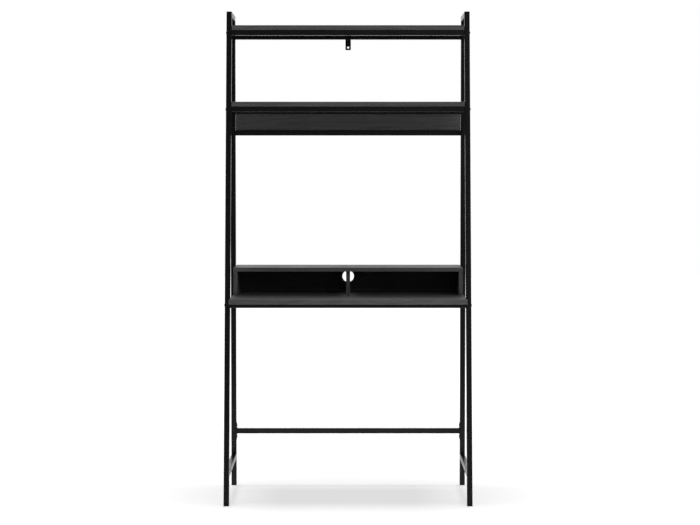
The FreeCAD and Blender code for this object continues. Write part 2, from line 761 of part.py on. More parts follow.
def cubby_top():
    """Top of the cubby, with blind dowel holes in its underside."""
    depth = "Sizes.cubby_depth"
    middle = f"({REAR} - {depth} / 2)"
    panel = plank("cubby_top", CUBBY_WIDTH, depth, "Sizes.cubby_thickness", "Sizes.cubby_edge_round")
    places = [(x, f"({y} - {middle})") for x, y in dowel_places()]
    drill(panel, places, DOWEL_HOLE, "(Sizes.dowel_in_top + Sizes.end_clearance)")
    place(panel, "0", middle, f"(Sizes.desk_height + {CUBBY_WALL})")
    return panel


# Wall bracket

def wall_bracket():
    """Bent strap: a foot bolted under the rail and a tab hanging flush with the rear."""
    thickness = "Sizes.bracket_thickness"
    foot_front = f"({REAR} - Sizes.bracket_foot)"
    tab_front = f"({REAR} - {thickness})"
    foot_under = f"(-{thickness})"
    tab_end = "(-Sizes.bracket_drop)"
    strap = new_body("wall_bracket")
    profile = sketch_on(strap, "YZ_Plane")
    outline(profile, [
        (REAR, "0"),
        (foot_front, "0"),
        (foot_front, foot_under),
        (tab_front, foot_under),
        (tab_front, tab_end),
        (REAR, tab_end),
    ])
    bent = pad(strap, profile, "Sizes.bracket_width", both_ways=True)
    inside = round_edges(strap, bent, "Sizes.bracket_bend", [("0", tab_front, foot_under)])
    outside = round_edges(strap, inside, BRACKET_BEND, [("0", REAR, "0")])
    ends = []
    for side in (-1, 1):
        edge_x = f"({side} * Sizes.bracket_width / 2)"
        ends.append((edge_x, f"({REAR} - {thickness} / 2)", tab_end))
        ends.append((edge_x, foot_front, f"(-{thickness} / 2)"))
    round_edges(strap, outside, "Sizes.bracket_corner", ends)
    wall_hole = sketch_on(strap, "XZ_Plane")
    circle(wall_hole, "Sizes.bracket_hole_diameter", y=f"({tab_end} + Sizes.bracket_hole_height)")
    cut(strap, wall_hole)
    bolt_hole = sketch_on(strap, "XY_Plane")
    circle(bolt_hole, BOLT_HOLE, y=BRACKET_BOLT_Y)
    cut(strap, bolt_hole)
    place(strap, "0", "0", BRACKET_SEAT)
    return strap


# Fasteners, each made once with its head up, and the seat of its head or the face of a sunk one at the origin

def hexagon(flats):
    """Corners of a hexagon of a given size across its flats."""
    corner = f"({flats} / sqrt(3))"
    shoulder = f"({corner} / 2)"
    flat = f"({flats} / 2)"
    return [
        (corner, "0"),
        (shoulder, flat),
        (f"(-{shoulder})", flat),
        (f"(-{corner})", "0"),
        (f"(-{shoulder})", f"(-{flat})"),
        (shoulder, f"(-{flat})"),
    ]


def cross(length, width):
    """Corners of a cross slot."""
    arm, half = f"({length} / 2)", f"({width} / 2)"
    back_arm, back_half = f"(-{arm})", f"(-{half})"
    return [
        (arm, half), (half, half), (half, arm),
        (back_half, arm), (back_half, half), (back_arm, half),
        (back_arm, back_half), (back_half, back_half), (back_half, back_arm),
        (half, back_arm), (half, back_half), (arm, back_half),
    ]


def recess(body, level, corners, depth):
    """Cut a recess with given corners down from the top of a head."""
    socket = sketch_on(body, "XY_Plane", level)
    outline(socket, corners)
    cut(body, socket, depth)


def bolt(label, length):
    """Domed bolt with a hexagon socket."""
    shank, head = "(Sizes.bolt_diameter / 2)", "(Sizes.bolt_head_diameter / 2)"
    rim, dome = "Sizes.bolt_head_rim", "Sizes.bolt_head_dome"
    top = f"({rim} + {dome})"
    body = new_body(label)
    section = sketch_on(body, "XZ_Plane")
    points = [
        ("0", f"(-{length})"),
        (shank, f"(-{length})"),
        (shank, "0"),
        (head, "0"),
        (head, rim),
        ("0", top),
    ]
    dome_radius = f"(({head} ^ 2 + {dome} ^ 2) / (2 * {dome}))"
    outline(section, points, dome_after=points.index((head, rim)), dome_radius=dome_radius)
    turn(body, section)
    recess(body, top, hexagon("Sizes.bolt_socket_flats"), "Sizes.bolt_socket_depth")
    return body


def wood_screw():
    """Sunk wood screw that passes through a rail and bites in the wood above it."""
    shank, head = "(Sizes.screw_diameter / 2)", "(Sizes.screw_head_diameter / 2)"
    length = f"(Sizes.tube_size + {SCREW_BITE})"
    body = new_body("wood_screw_master")
    section = sketch_on(body, "XZ_Plane")
    outline(section, [
        ("0", f"(-{length})"),
        (shank, f"(Sizes.screw_tip - {length})"),
        (shank, f"(-{SCREW_SINK})"),
        (head, "0"),
        ("0", "0"),
    ])
    turn(body, section)
    recess(body, "0", cross("Sizes.screw_slot_length", "Sizes.screw_slot_width"), "Sizes.screw_slot_depth")
    return body


def connector():
    """Flat-headed connector screw, with its seat one head's height up in the desk board."""
    shank, head = "(Sizes.connector_diameter / 2)", "(Sizes.connector_head_diameter / 2)"
    thickness = "Sizes.connector_head_height"
    length = f"(Sizes.board_thickness - {thickness} + Sizes.connector_engagement)"
    body = new_body("connector_master")
    section = sketch_on(body, "XZ_Plane")
    outline(section, [
        ("0", f"(-{length})"),
        (shank, f"(Sizes.connector_tip - {length})"),
        (shank, "0"),
        (head, "0"),
        (head, thickness),
        ("0", thickness),
    ])
    turn(body, section)
    recess(body, thickness, hexagon("Sizes.bolt_socket_flats"), "Sizes.bolt_socket_depth")
    return body


def end_nut():
    """Threaded block that fills a rail's end, with its outer face at the origin."""
    size = f"({TUBE_BORE} - 2 * Sizes.end_nut_clearance)"
    body = new_body("end_nut_master")
    face = sketch_on(body, "XY_Plane")
    rounded_rectangle(face, size, size, BORE_CORNER)
    circle(face, BOLT_THREAD)
    pad(body, face, "Sizes.end_nut_length")
    return body


def weld_nut():
    """Square threaded nut, with the face that is welded to the wall at the origin."""
    body = new_body("weld_nut_master")
    face = sketch_on(body, "XY_Plane")
    rectangle(face, "Sizes.weld_nut_size", "Sizes.weld_nut_size")
    circle(face, BOLT_THREAD)
    pad(body, face, "Sizes.weld_nut_height")
    return body


def peg(label, diameter, length):
    """Plain round peg standing on its lower end."""
    body = doc.addObject("Part::Cylinder", label)
    body.Label = label
    body.setExpression("Radius", f"{diameter} / 2")
    body.setExpression("Height", length)
    return body


def both_ends(rails, x, right_turn, left_turn):
    """Places at both ends of rails given as Y and Z."""
    places = []
    for y, z in rails:
        places.append((x, y, z, right_turn))
        places.append((f"(-{x})", y, z, left_turn))
    return places


def screws_under(label, master, rails, shares):
    """Wood screws with their heads under rails given as Y and Z."""
    places = []
    for y, z in rails:
        under = f"({z} - Sizes.tube_size / 2)"
        places += [(x, y, under, HEAD_DOWN) for x in rail_places(shares)]
    return copies(label, master, places)


# The whole desk

def side_frames():
    """Left and right side frame, tube by tube."""
    pieces = []
    for side, x in (("left", f"(-{LEG_X})"), ("right", LEG_X)):
        pieces.append(front_leg(f"{side}_front_leg", x))
        pieces.append(rear_leg(f"{side}_rear_leg", x, inner_is_right=side == "left"))
        pieces.append(top_bar(f"{side}_top_bar", x))
        pieces.append(side_stretcher(f"{side}_side_stretcher", x))
    feet = [(f"(-{LEG_X})", "0", "0", UPRIGHT), (LEG_X, "0", "0", UPRIGHT)]
    pieces.append(copies("front_foot_caps", front_cap(), feet))
    pieces.append(copies("rear_foot_caps", rear_cap(), feet))
    return pieces


FRONT_RAILS = [(front_axis(height), height) for height in (TOP_RAIL, MIDDLE_RAIL, DESK_RAIL)]
REAR_RAILS = [(REAR_AXIS, height) for height in (TOP_RAIL, MIDDLE_RAIL, DESK_RAIL)]
PANEL_RAIL = (REAR_AXIS, BACK_RAIL)


def rails():
    """Rails between the side frames, and the rear stretcher."""
    top_front, middle_front, desk_front = FRONT_RAILS
    top_rear, middle_rear, desk_rear = REAR_RAILS
    return [
        rail("top_shelf_front_rail", *top_front, SCREW_SHARES),
        bracket_rail("top_shelf_rear_rail", *top_rear),
        rail("middle_shelf_front_rail", *middle_front, SCREW_SHARES),
        rail("middle_shelf_rear_rail", *middle_rear, SCREW_SHARES, PANEL_PIN_SHARES),
        rail("back_panel_rail", *PANEL_RAIL, PANEL_SCREW_SHARES),
        rail("desk_front_rail", *desk_front, SCREW_SHARES),
        rail("desk_rear_rail", *desk_rear, SCREW_SHARES),
        rear_stretcher(),
        end_plates(),
    ]


def boards():
    """Shelves, desk, back panel and cubby."""
    return [
        board("top_shelf_board", shelf_front(TOP_RAIL), TOP_SHELF, TOP_RAIL),
        board("middle_shelf_board", shelf_front(MIDDLE_RAIL), MIDDLE_SHELF, MIDDLE_RAIL),
        desk_board(),
        back_panel(),
        cubby_side("cubby_left_side", -1),
        cubby_side("cubby_right_side", 1),
        cubby_divider(),
        cubby_back(),
        cubby_top(),
    ]


def rail_fasteners():
    """Bolts and nuts at the ends of the rails and of the rear stretcher."""
    outer_x = "(Sizes.overall_width / 2)"
    inner_x = f"({CLEAR_WIDTH} / 2)"
    rear_rails = REAR_RAILS + [PANEL_RAIL]
    long_bolt = bolt("rail_bolt_master", "(Sizes.tube_size + Sizes.bolt_engagement)")
    nut = end_nut()
    grip = "Sizes.tube_wall + Sizes.weld_nut_height + Sizes.bolt_overhang"
    short_bolt = bolt("stretcher_bolt_master", f"(Sizes.end_plate_thickness + {grip})")
    square_nut = weld_nut()
    stretcher_ends = [(REAR_AXIS, height) for height in stretcher_bolt_heights()]
    plate_x = f"({inner_x} - Sizes.end_plate_thickness)"
    wall_x = f"({inner_x} + Sizes.tube_wall)"
    bracket_bolt = bolt("bracket_bolt_master", f"(Sizes.bracket_thickness + {grip})")
    bracket_under = f"({BRACKET_SEAT} - Sizes.bracket_thickness)"
    nut_floor = f"({BRACKET_SEAT} + Sizes.tube_wall)"
    return [
        copies("front_rail_bolts", long_bolt, both_ends(FRONT_RAILS, outer_x, HEAD_RIGHT, HEAD_LEFT)),
        copies("rear_rail_bolts", long_bolt, both_ends(rear_rails, outer_x, HEAD_RIGHT, HEAD_LEFT)),
        copies("front_rail_nuts", nut, both_ends(FRONT_RAILS, inner_x, HEAD_LEFT, HEAD_RIGHT)),
        copies("rear_rail_nuts", nut, both_ends(rear_rails, inner_x, HEAD_LEFT, HEAD_RIGHT)),
        copies("stretcher_bolts", short_bolt, both_ends(stretcher_ends, plate_x, HEAD_LEFT, HEAD_RIGHT)),
        copies("stretcher_nuts", square_nut, both_ends(stretcher_ends, wall_x, HEAD_RIGHT, HEAD_LEFT)),
        copies("wall_bracket_bolt", bracket_bolt, [("0", BRACKET_BOLT_Y, bracket_under, HEAD_DOWN)]),
        copies("wall_bracket_nut", square_nut, [("0", BRACKET_BOLT_Y, nut_floor, UPRIGHT)]),
    ]


def wood_fasteners():
    """Screws, pins and dowels in the boards."""
    screw = wood_screw()
    top, middle, desk = ([FRONT_RAILS[index], REAR_RAILS[index]] for index in range(len(FRONT_RAILS)))
    pin = peg("panel_pin_master", "Sizes.pin_diameter", "(Sizes.pin_in_panel + Sizes.pin_in_rail)")
    pin_foot = f"({MIDDLE_RAIL} - Sizes.tube_size / 2 - Sizes.pin_in_panel)"
    pins = [(x, REAR_AXIS, pin_foot, UPRIGHT) for x in rail_places(PANEL_PIN_SHARES)]
    dowel = peg("dowel_master", "Sizes.dowel_diameter", "(Sizes.dowel_in_top + Sizes.dowel_in_side)")
    dowel_foot = f"(Sizes.desk_height + {CUBBY_WALL} - Sizes.dowel_in_side)"
    dowels = [(x, y, dowel_foot, UPRIGHT) for x, y in dowel_places()]
    connector_seat = "(Sizes.desk_height - Sizes.board_thickness + Sizes.connector_head_height)"
    connectors = [(x, y, connector_seat, HEAD_DOWN) for x, y in connector_places()]
    return [
        screws_under("top_shelf_screws", screw, top, SCREW_SHARES),
        screws_under("middle_shelf_screws", screw, middle, SCREW_SHARES),
        screws_under("desk_screws", screw, desk, SCREW_SHARES),
        screws_under("back_panel_screws", screw, [PANEL_RAIL], PANEL_SCREW_SHARES),
        copies("back_panel_pins", pin, pins),
        copies("cubby_dowels", dowel, dowels),
        copies("cubby_connectors", connector(), connectors),
    ]


def write_parts(pieces):
    """Check the whole document, then write each piece under its own label."""
    doc.recompute()
    for item in doc.Objects:
        if {"Invalid", "Error"} & set(item.State):
            raise RuntimeError(f"{item.Label} failed: {item.State}")
    for piece in pieces:
        if piece.Shape.isNull() or not piece.Shape.isValid():
            raise RuntimeError(f"{piece.Label} has no valid shape")
    os.makedirs("parts", exist_ok=True)
    for piece in pieces:
        piece.Shape.exportStep(os.path.join("parts", f"{piece.Label}.step"))


write_parts([
    *side_frames(),
    *rails(),
    *boards(),
    wall_bracket(),
    *rail_fasteners(),
    *wood_fasteners(),
])
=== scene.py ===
import math
from typing import NamedTuple

import bmesh
import bpy
from bpy.props import FloatProperty, FloatVectorProperty, PointerProperty
from mathutils import Matrix, Vector


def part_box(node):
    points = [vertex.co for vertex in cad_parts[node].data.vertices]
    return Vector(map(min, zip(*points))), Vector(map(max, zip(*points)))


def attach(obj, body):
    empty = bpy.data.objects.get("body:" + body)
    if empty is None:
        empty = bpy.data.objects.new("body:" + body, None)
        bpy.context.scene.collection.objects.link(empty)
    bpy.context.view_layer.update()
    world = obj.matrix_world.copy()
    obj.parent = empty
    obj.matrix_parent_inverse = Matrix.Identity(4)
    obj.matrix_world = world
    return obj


bl_info = {
    "name": "Ladder desk finishes",
    "version": (1, 0, 0),
    "blender": (4, 5, 0),
    "location": "View3D > Sidebar > Ladder Desk",
    "description": "Finishes, weld beads and studio for a ladder desk of steel tube and board",
    "category": "Object",
}

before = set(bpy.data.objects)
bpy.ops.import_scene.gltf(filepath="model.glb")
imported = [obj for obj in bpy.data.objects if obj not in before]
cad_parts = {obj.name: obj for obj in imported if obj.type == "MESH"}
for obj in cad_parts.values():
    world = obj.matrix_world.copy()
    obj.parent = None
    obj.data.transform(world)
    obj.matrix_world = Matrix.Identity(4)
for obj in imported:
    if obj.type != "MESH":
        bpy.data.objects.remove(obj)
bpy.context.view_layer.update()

# Nodes by finish

SIDES = ("left", "right")
SIDE_TUBES = ("front_leg", "rear_leg", "top_bar", "side_stretcher")
STEEL_NODES = (
    *(f"{side}_{tube}" for side in SIDES for tube in SIDE_TUBES),
    "top_shelf_front_rail", "top_shelf_rear_rail", "middle_shelf_front_rail",
    "middle_shelf_rear_rail", "back_panel_rail", "desk_front_rail", "desk_rear_rail",
    "rear_stretcher", "stretcher_end_plates", "wall_bracket",
)
LYING_BOARDS = ("top_shelf_board", "middle_shelf_board", "desk_board", "cubby_top")
CROSS_PANELS = ("back_panel", "cubby_back")
DEEP_PANELS = ("cubby_left_side", "cubby_right_side", "cubby_divider")
FOOT_CAPS = ("front_foot_caps", "rear_foot_caps")
BLACK_FASTENERS = (
    "front_rail_bolts", "rear_rail_bolts", "stretcher_bolts", "wall_bracket_bolt",
    "top_shelf_screws", "middle_shelf_screws", "desk_screws", "back_panel_screws",
)
ZINC_HARDWARE = (
    "front_rail_nuts", "rear_rail_nuts", "stretcher_nuts", "wall_bracket_nut", "cubby_connectors",
)
WOOD_PEGS = ("back_panel_pins", "cubby_dowels")

# Rows say which of the desk's axes runs along the grain, across it and through the board.
LYING_AXES = ((1, 0, 0), (0, 1, 0), (0, 0, 1))
CROSS_AXES = ((1, 0, 0), (0, 0, 1), (0, -1, 0))
DEEP_AXES = ((0, 1, 0), (0, 0, 1), (1, 0, 0))
UPRIGHT_AXES = ((0, 0, 1), (1, 0, 0), (0, 1, 0))


# Settings

def colour_setting(name, description, default):
    """A colour that the user can change."""
    return FloatVectorProperty(name=name, description=description, default=(*default, 1.0),
                               size=4, min=0.0, max=1.0, subtype="COLOR")


def share_setting(name, description, default):
    """A share from 0 to 1 that the user can change."""
    return FloatProperty(name=name, description=description, default=default,
                         min=0.0, max=1.0, subtype="FACTOR")


def length_setting(name, description, default, lowest, highest):
    """A length that the user can change."""
    return FloatProperty(name=name, description=description, default=default,
                         min=lowest, max=highest, unit="LENGTH")


def power_setting(name, description, default):
    """A lamp's power that the user can change."""
    return FloatProperty(name=name, description=description, default=default,
                         min=0.0, unit="POWER")


class DeskFinishes(bpy.types.PropertyGroup):
    """Colours and gloss of the desk's finishes."""

    steel: colour_setting("Powder coat", "Colour of the coated steel tubes",
                          (0.0018, 0.0018, 0.0019))
    steel_edge: colour_setting("Thin coat", "Colour where the coat is thin along edges",
                               (0.006, 0.006, 0.0062))
    steel_roughness: share_setting("Coat roughness", "Roughness of the coated steel", 0.27)
    board_dark: colour_setting("Grain valleys", "Darker tone of the laminate's grain",
                               (0.0335, 0.0335, 0.034))
    board_light: colour_setting("Grain ridges", "Lighter tone of the laminate's grain",
                                (0.0615, 0.0615, 0.0625))
    board_roughness: share_setting("Board roughness", "Roughness of the laminate", 0.46)
    cap: colour_setting("Foot caps", "Colour of the plastic caps", (0.012, 0.012, 0.012))
    bolt: colour_setting("Fasteners", "Colour of the blackened bolts and screws",
                         (0.035, 0.035, 0.037))
    zinc: colour_setting("Zinc", "Colour of the plated connectors and nuts", (0.60, 0.61, 0.60))
    peg: colour_setting("Pegs", "Colour of the beech pegs", (0.52, 0.34, 0.19))


class DeskWelds(bpy.types.PropertyGroup):
    """Sizes of the weld beads."""

    bead: length_setting("Bead", "Size of a bead across each face that it joins",
                         0.0024, 0.0005, 0.006)
    ripple: length_setting("Ripple", "Distance from one ripple of a bead to the next",
                           0.0014, 0.0005, 0.006)
    margin: length_setting("End margin", "How far a bead stops short of a tube's side",
                           0.0022, 0.0, 0.008)


class DeskStage(bpy.types.PropertyGroup):
    """Camera, lamps and floor."""

    eye: FloatVectorProperty(name="Eye", description="Where the camera stands", size=3,
                             default=(0.0072, -6.6063, 1.2216),
                             subtype="TRANSLATION", unit="LENGTH")
    tilt: FloatProperty(name="Tilt", description="How far the camera looks down",
                        default=math.radians(2.603), subtype="ANGLE", unit="ROTATION")
    lens: FloatProperty(name="Lens", description="Focal length on a sensor 36 mm wide",
                        default=90.14, min=10.0, max=400.0, unit="CAMERA")
    rise: FloatProperty(name="Frame shift", default=-0.014,
                        description="Shift of the frame upwards, in frame widths")
    front: power_setting("Front lamp", "Power of the soft lamp high in front", 90.0)
    right: power_setting("Right lamp", "Power of the tall soft lamp on the right", 60.0)
    left: power_setting("Left lamp", "Power of the tall soft lamp on the left", 16.0)
    top: power_setting("Top lamp", "Power of the soft lamp overhead", 150.0)
    bounce: power_setting("Floor bounce", "Power of the light that the pale floor throws up", 100.0)
    ambient: FloatProperty(name="Ambient", description="Light from all round",
                           default=0.12, min=0.0)
    floor: colour_setting("Floor", "Colour of the floor", (0.86, 0.86, 0.86))
    floor_glow: FloatProperty(name="Floor lift", default=0.64, min=0.0,
                              description="What makes the open floor white in the picture")


# Shader building

# Sockets of a Mix node: both inputs and the output
MIX_SOCKETS = {"RGBA": (6, 7, 2), "VECTOR": (4, 5, 1)}
UNIT_SPAN = (0.0, 1.0)
# What most of a noise lies between
NOISE_SPAN = (0.3, 0.7)


class Noise(NamedTuple):
    """A noise: its cells to the metre along each axis, and its make-up."""

    cells: tuple
    detail: float = 2.0
    roughness: float = 0.5
    distortion: float = 0.0


class Wear(NamedTuple):
    """Edge wear: how far it reaches from an edge, and how much of it shows."""

    radius: float
    share: float


class Relief(NamedTuple):
    """Small relief: its depth, and how much of it shows."""

    depth: float
    strength: float


def feed(tree, socket, value):
    """Link a socket to another one, or set its value."""
    if isinstance(value, bpy.types.NodeSocket):
        tree.links.new(value, socket)
    else:
        socket.default_value = value


def fill(tree, target, values):
    """Give a node its values and links."""
    for key, value in values.items():
        feed(tree, target.inputs[key], value)


def node(tree, kind, inputs=None, **options):
    """Add a node, set its options, then fill its inputs."""
    made = tree.nodes.new(kind)
    for name, value in options.items():
        setattr(made, name, value)
    fill(tree, made, inputs or {})
    return made


def maths(tree, operation, first, second=0.0, clamp=False):
    """One sum of two values."""
    inputs = {0: first, 1: second}
    return node(tree, "ShaderNodeMath", inputs, operation=operation, use_clamp=clamp).outputs[0]


def scaled(tree, value, times):
    """A value times another."""
    return maths(tree, "MULTIPLY", value, times)


def mix(tree, kind, share, first, second):
    """A colour between two colours, or a vector between two vectors."""
    start, end, result = MIX_SOCKETS[kind]
    inputs = {"Factor": share, start: first, end: second}
    return node(tree, "ShaderNodeMix", inputs, data_type=kind).outputs[result]


def blend(tree, share, first, second):
    """A colour between two colours."""
    return mix(tree, "RGBA", share, first, second)


def remap(tree, value, span, target=UNIT_SPAN):
    """Ease a value from one range to another."""
    inputs = dict(enumerate((value, *span, *target)))
    return node(tree, "ShaderNodeMapRange", inputs, interpolation_type="SMOOTHSTEP").outputs[0]


def split(tree, vector):
    """The X, Y and Z of a vector."""
    return node(tree, "ShaderNodeSeparateXYZ", {0: vector}).outputs


def turned(tree, vector, axes, kind="POINT"):
    """A point or a direction in a board's own axes."""
    inputs = {"Vector": vector, "Rotation": Matrix(axes).to_euler()}
    return node(tree, "ShaderNodeMapping", inputs, vector_type=kind).outputs[0]


def noise(tree, vector, recipe):
    """Noise made to a recipe."""
    inputs = {0: vector, 1: recipe.cells}
    spread = node(tree, "ShaderNodeVectorMath", inputs, operation="MULTIPLY").outputs[0]
    inputs = {"Vector": spread, "Scale": 1.0, "Detail": recipe.detail,
              "Roughness": recipe.roughness, "Distortion": recipe.distortion}
    return node(tree, "ShaderNodeTexNoise", inputs).outputs[0]


def relief(tree, height, recipe):
    """Normal of a surface with small relief."""
    inputs = {"Height": height, "Distance": recipe.depth, "Strength": recipe.strength}
    return node(tree, "ShaderNodeBump", inputs).outputs[0]


# Shader groups

WEAR_SAMPLES = 4
WEAR_SPAN = (0.02, 0.22)
WEAR_PATCHES = Noise((90, 90, 90), 3.0)
PATCH_SPAN = (0.35, 0.7)

COAT_PEEL = Noise((620, 620, 620))
COAT_GRIT = Noise((2600, 2600, 2600), 1.0)
GRIT_SHARE = 0.35
GLOSS_DRIFT = Noise((9, 9, 9), 4.0, 0.6)

WOOD_FIGURE = Noise((1.1, 13, 13), 2.0, 0.45, 0.5)
WOOD_STREAKS = Noise((4.5, 190, 190), 3.0, 0.6)
WOOD_FIBRES = Noise((14, 620, 620))
WOOD_PORES = Noise((20, 760, 760), 1.0)
RING_TURNS = 85.0
RING_SPAN = (-0.2, 1.0)
FIGURE_TONE, STREAK_TONE, RING_TONE = 0.45, 0.55, 0.32
TONE_SPAN = (0.30, 0.62)
PORE_SPAN = (0.60, 0.70)
FIBRE_HEIGHT, RING_DEPTH = 0.5, 0.4


def new_group(name, inputs, outputs):
    """An empty shader group with named sockets: its tree, and its input and output nodes."""
    tree = bpy.data.node_groups.new(name, "ShaderNodeTree")
    for label, kind in inputs.items():
        tree.interface.new_socket(label, in_out="INPUT", socket_type=kind)
    for label in outputs:
        tree.interface.new_socket(label, in_out="OUTPUT", socket_type="NodeSocketFloat")
    return tree, tree.nodes.new("NodeGroupInput"), tree.nodes.new("NodeGroupOutput")


def worn_edges_group(name):
    """Mask of the outer edges, broken into patches."""
    inputs = {"Vector": "NodeSocketVector", "Radius": "NodeSocketFloat"}
    tree, given, result = new_group(name, inputs, ("Mask",))
    radius = given.outputs["Radius"]
    eased = node(tree, "ShaderNodeBevel", {"Radius": radius}, samples=WEAR_SAMPLES).outputs[0]
    normal = node(tree, "ShaderNodeNewGeometry").outputs["Normal"]
    agree = node(tree, "ShaderNodeVectorMath", {0: eased, 1: normal}, operation="DOT_PRODUCT")
    edge = remap(tree, maths(tree, "SUBTRACT", 1.0, agree.outputs["Value"]), WEAR_SPAN)
    patches = remap(tree, noise(tree, given.outputs["Vector"], WEAR_PATCHES), PATCH_SPAN)
    fill(tree, result, {"Mask": scaled(tree, edge, patches)})
    return tree


def coat_texture_group(name):
    """Fine orange peel of a baked coat, with a slow drift of gloss over it."""
    tree, given, result = new_group(name, {"Vector": "NodeSocketVector"}, ("Height", "Drift"))
    vector = given.outputs["Vector"]
    grit = scaled(tree, noise(tree, vector, COAT_GRIT), GRIT_SHARE)
    fill(tree, result, {
        "Height": maths(tree, "ADD", noise(tree, vector, COAT_PEEL), grit),
        "Drift": noise(tree, vector, GLOSS_DRIFT),
    })
    return tree


def wood_grain_group(name):
    """Printed and pressed grain along X: streaks, growth rings, short open pores and relief."""
    outputs = ("Tone", "Pores", "Height")
    tree, given, result = new_group(name, {"Vector": "NodeSocketVector"}, outputs)
    vector = given.outputs["Vector"]
    figure = noise(tree, vector, WOOD_FIGURE)
    streaks = noise(tree, vector, WOOD_STREAKS)
    fibres = scaled(tree, noise(tree, vector, WOOD_FIBRES), FIBRE_HEIGHT)
    pores = remap(tree, noise(tree, vector, WOOD_PORES), PORE_SPAN)
    turns = maths(tree, "ADD", scaled(tree, figure, RING_TURNS), streaks)
    rings = remap(tree, maths(tree, "SINE", turns), RING_SPAN)
    broad = maths(tree, "ADD", scaled(tree, figure, FIGURE_TONE),
                  scaled(tree, streaks, STREAK_TONE))
    dark = scaled(tree, rings, RING_TONE)
    raised = maths(tree, "ADD", streaks, fibres)
    pressed = maths(tree, "ADD", pores, scaled(tree, rings, RING_DEPTH))
    fill(tree, result, {
        "Tone": maths(tree, "SUBTRACT", remap(tree, broad, TONE_SPAN), dark, clamp=True),
        "Pores": pores,
        "Height": maths(tree, "SUBTRACT", raised, pressed),
    })
    return tree


def use_group(tree, name, build, inputs):
    """Place a shader group in a material. The group is built at its first use."""
    group = bpy.data.node_groups.get(name) or build(name)
    return node(tree, "ShaderNodeGroup", inputs, node_tree=group).outputs


def worn_edges(tree, vector, wear):
    """Mask of a piece's worn edges."""
    inputs = {"Vector": vector, "Radius": wear.radius}
    mask = use_group(tree, "Worn edges", worn_edges_group, inputs)["Mask"]
    return scaled(tree, mask, wear.share)


def coat_texture(tree, vector):
    """Height and gloss drift of a baked coat."""
    return use_group(tree, "Coat texture", coat_texture_group, {"Vector": vector})


def wood_grain(tree, vector):
    """Tone, pores and height of wood grain."""
    return use_group(tree, "Wood grain", wood_grain_group, {"Vector": vector})


# Finishes

COAT_WEAR = Wear(0.0012, 0.5)
COAT_DRIFT = (-0.05, 0.05)
COAT_SPECULAR = 0.35
COAT_RELIEF = Relief(0.00002, 0.15)

# How far a face has to look along the grain to be an end, and how little through the board to
# be a band
END_FACING, BAND_FACING = 0.7, 0.5
# What is added to the grain's tone on faces and on bands
BAND_TONE = (-0.14, 0.16)
BAND_GLOSS = 0.03
BOARD_PORE = (0.008, 0.008, 0.008, 1.0)
BOARD_PORE_SHARE, BOARD_PORE_ROUGHNESS = 0.35, 0.12
BOARD_WEAR = Wear(0.0009, 0.35)
BOARD_WORN = (0.10, 0.10, 0.10, 1.0)
BOARD_DRIFT = (-0.04, 0.04)
BOARD_SPECULAR = 0.25
BOARD_RELIEF = Relief(0.00012, 0.3)

PLASTIC_SKIN = Noise((1500, 1500, 1500))
PLASTIC_SCUFFS = Noise((160, 160, 60), 4.0, 0.65)
SCUFF_SPAN, SCUFF_SHARE = (0.5, 0.75), 0.3
PLASTIC_WEAR = Wear(0.0010, 0.5)
PLASTIC_WORN = (0.05, 0.05, 0.05, 1.0)
PLASTIC_ROUGHNESS = (0.5, 0.62)
PLASTIC_RELIEF = Relief(0.00006, 0.4)

OXIDE_MOTTLE = Noise((700, 700, 700), 3.0, 0.6)
OXIDE_WEAR = Wear(0.0005, 0.45)
BARE_STEEL = (0.22, 0.22, 0.23, 1.0)
OXIDE_METALLIC = (0.7, 0.9)
OXIDE_ROUGHNESS = (0.30, 0.42)
OXIDE_RELIEF = Relief(0.00003, 0.3)

ZINC_CLOUD = Noise((420, 420, 420), 3.0, 0.6)
ZINC_GRIT = Noise((2400, 2400, 2400), 1.0)
CLOUD_SPAN, CLOUD_SHARE = (0.45, 0.75), (0.0, 0.6)
WARM_ZINC = (0.56, 0.54, 0.46, 1.0)
ZINC_ROUGHNESS = (0.28, 0.42)
ZINC_RELIEF = Relief(0.00002, 0.3)

PALE_BEECH = (0.62, 0.44, 0.27, 1.0)
BEECH_FLECK = (0.30, 0.17, 0.09, 1.0)
FLECK_SHARE = 0.6
BEECH_ROUGHNESS = (0.55, 0.68)
BEECH_RELIEF = Relief(0.0001, 0.4)


def finishes():
    """The user's finishes."""
    return bpy.context.scene.desk_finishes


def new_material(name):
    """A material with its tree, its shader and the Object coordinates."""
    material = bpy.data.materials.new(name)
    material.use_nodes = True
    tree = material.node_tree
    tree.nodes.clear()
    shader = node(tree, "ShaderNodeBsdfPrincipled")
    node(tree, "ShaderNodeOutputMaterial", {"Surface": shader.outputs[0]})
    vector = node(tree, "ShaderNodeTexCoord").outputs["Object"]
    return material, tree, shader, vector


def powder_coat():
    """Satin black powder coat, thin and a little lighter along the edges."""
    found = bpy.data.materials.get("powder_coat")
    if found:
        return found
    values = finishes()
    material, tree, shader, vector = new_material("powder_coat")
    coat = coat_texture(tree, vector)
    edge = worn_edges(tree, vector, COAT_WEAR)
    drift = remap(tree, coat["Drift"], NOISE_SPAN, COAT_DRIFT)
    fill(tree, shader, {
        "Base Color": blend(tree, edge, values.steel, values.steel_edge),
        "Roughness": maths(tree, "ADD", drift, values.steel_roughness, clamp=True),
        "Specular IOR Level": COAT_SPECULAR,
        "Normal": relief(tree, coat["Height"], COAT_RELIEF),
    })
    return material


